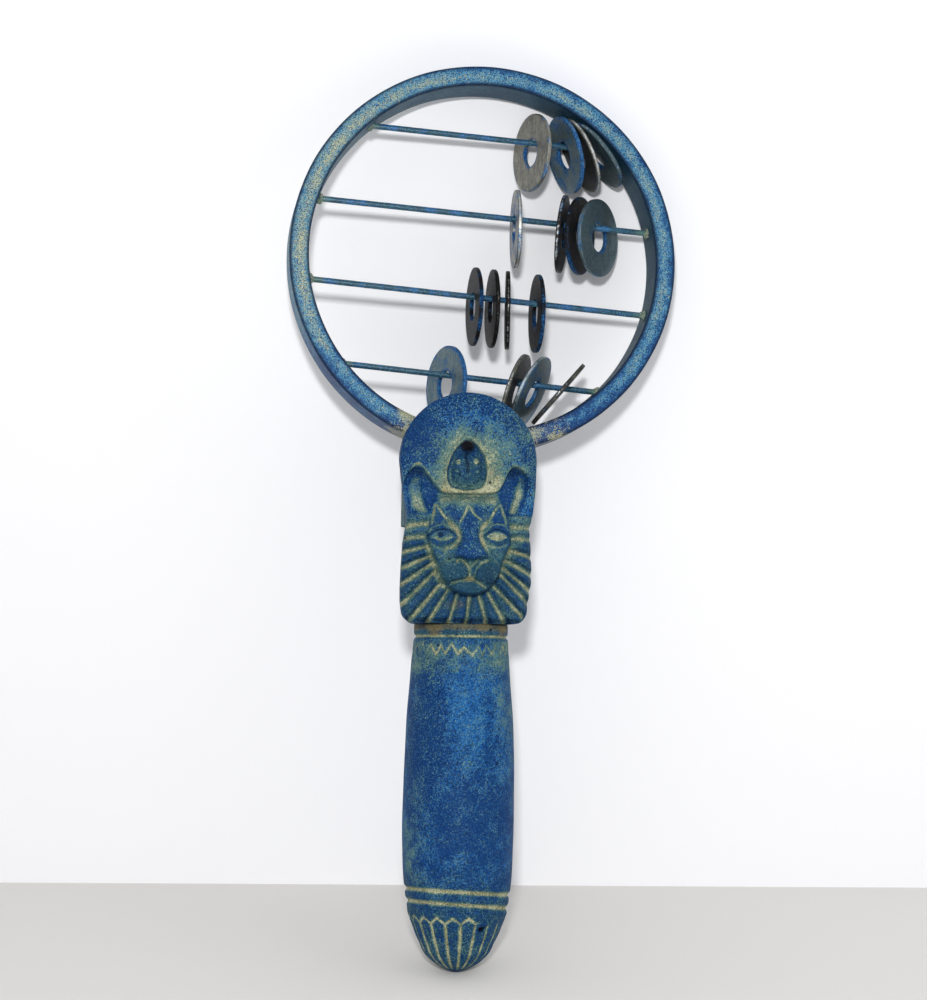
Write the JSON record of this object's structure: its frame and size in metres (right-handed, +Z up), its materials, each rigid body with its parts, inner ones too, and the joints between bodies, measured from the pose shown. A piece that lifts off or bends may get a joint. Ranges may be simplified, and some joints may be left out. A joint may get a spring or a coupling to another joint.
{
  "type": "sistrum",
  "caption": "Hand-held sistrum rattle: a closed hoop with cross rods that carry loose sliding disc jingles, set in a carved lion-head top on a barrel grip.",
  "frame": {"origin": "middle of the grip on its axis, where a hand holds it", "axes": "+Z up along the grip towards the hoop, +X to the right seen from the face, -Y out of the face"},
  "size_m": [0.1439, 0.0454, 0.3328],
  "materials": {
    "painted_hoop": "matt blue paint with sandy rubbed edges",
    "painted_rod": "matt blue-green paint",
    "weld_bead": "rough sandy bead",
    "steel_jingle": "worn bare steel",
    "painted_jingle": "worn blue paint over steel",
    "dark_jingle": "darkened steel",
    "carved_head": "matt blue with sandy recesses",
    "carved_grip": "matt blue with sandy recesses",
    "tang_steel": "plain steel"
  },
  "bodies": {
    "frame": {"hoop": "painted_hoop", "rod_1": "painted_rod", "rod_2": "painted_rod", "rod_3": "painted_rod", "rod_4": "painted_rod", "weld_beads": "weld_bead", "lion_head": "carved_head", "grip": "carved_grip", "tang": "tang_steel"},
    "jingle_1a": {"jingle_1a": "steel_jingle"},
    "jingle_1b": {"jingle_1b": "painted_jingle"},
    "jingle_1c": {"jingle_1c": "steel_jingle"},
    "jingle_1d": {"jingle_1d": "painted_jingle"},
    "jingle_2a": {"jingle_2a": "steel_jingle"},
    "jingle_2b": {"jingle_2b": "dark_jingle"},
    "jingle_2c": {"jingle_2c": "dark_jingle"},
    "jingle_2d": {"jingle_2d": "painted_jingle"},
    "jingle_3a": {"jingle_3a": "dark_jingle"},
    "jingle_3b": {"jingle_3b": "dark_jingle"},
    "jingle_3c": {"jingle_3c": "dark_jingle"},
    "jingle_3d": {"jingle_3d": "dark_jingle"},
    "jingle_4a": {"jingle_4a": "painted_jingle"},
    "jingle_4b": {"jingle_4b": "steel_jingle"},
    "jingle_4c": {"jingle_4c": "painted_jingle"},
    "jingle_4d": {"jingle_4d": "steel_jingle"}
  },
  "joints": [
    {"name": "slide_1a", "type": "slide", "parent": "frame", "child": "jingle_1a", "axis": [0.9983, 0, -0.0576], "range_m": [-0.04295, 0.00615]},
    {"name": "slide_1b", "type": "slide", "parent": "frame", "child": "jingle_1b", "axis": [0.9983, 0, -0.0576], "range_m": [-0.00615, 0.00045]},
    {"name": "slide_1c", "type": "slide", "parent": "frame", "child": "jingle_1c", "axis": [0.9983, 0, -0.0576], "range_m": [-0.00045, 0.00075]},
    {"name": "slide_1d", "type": "slide", "parent": "frame", "child": "jingle_1d", "axis": [0.9983, 0, -0.0576], "range_m": [-0.00075, 0.00025]},
    {"name": "slide_2a", "type": "slide", "parent": "frame", "child": "jingle_2a", "axis": [0.9981, 0, -0.061], "range_m": [-0.06815, 0.01175]},
    {"name": "slide_2b", "type": "slide", "parent": "frame", "child": "jingle_2b", "axis": [0.9981, 0, -0.061], "range_m": [-0.01175, 0.00105]},
    {"name": "slide_2c", "type": "slide", "parent": "frame", "child": "jingle_2c", "axis": [0.9981, 0, -0.061], "range_m": [-0.00105, 0.00185]},
    {"name": "slide_2d", "type": "slide", "parent": "frame", "child": "jingle_2d", "axis": [0.9981, 0, -0.061], "range_m": [-0.00185, 0.00855]},
    {"name": "slide_3a", "type": "slide", "parent": "frame", "child": "jingle_3a", "axis": [0.9976, 0, -0.0698], "range_m": [-0.05495, 0.00415]},
    {"name": "slide_3b", "type": "slide", "parent": "frame", "child": "jingle_3b", "axis": [0.9976, 0, -0.0698], "range_m": [-0.00415, 0.00185]},
    {"name": "slide_3c", "type": "slide", "parent": "frame", "child": "jingle_3c", "axis": [0.9976, 0, -0.0698], "range_m": [-0.00185, 0.00695]},
    {"name": "slide_3d", "type": "slide", "parent": "frame", "child": "jingle_3d", "axis": [0.9976, 0, -0.0698], "range_m": [-0.00695, 0.03175]},
    {"name": "slide_4a", "type": "slide", "parent": "frame", "child": "jingle_4a", "axis": [0.9969, 0, -0.0785], "range_m": [-0.00815, 0.01295]},
    {"name": "slide_4b", "type": "slide", "parent": "frame", "child": "jingle_4b", "axis": [0.9969, 0, -0.0785], "range_m": [-0.01295, 0.00125]},
    {"name": "slide_4c", "type": "slide", "parent": "frame", "child": "jingle_4c", "axis": [0.9969, 0, -0.0785], "range_m": [-0.00125, 0.00165]},
    {"name": "slide_4d", "type": "slide", "parent": "frame", "child": "jingle_4d", "axis": [0.9969, 0, -0.0785], "range_m": [-0.00165, 0.00135]}
  ]
}
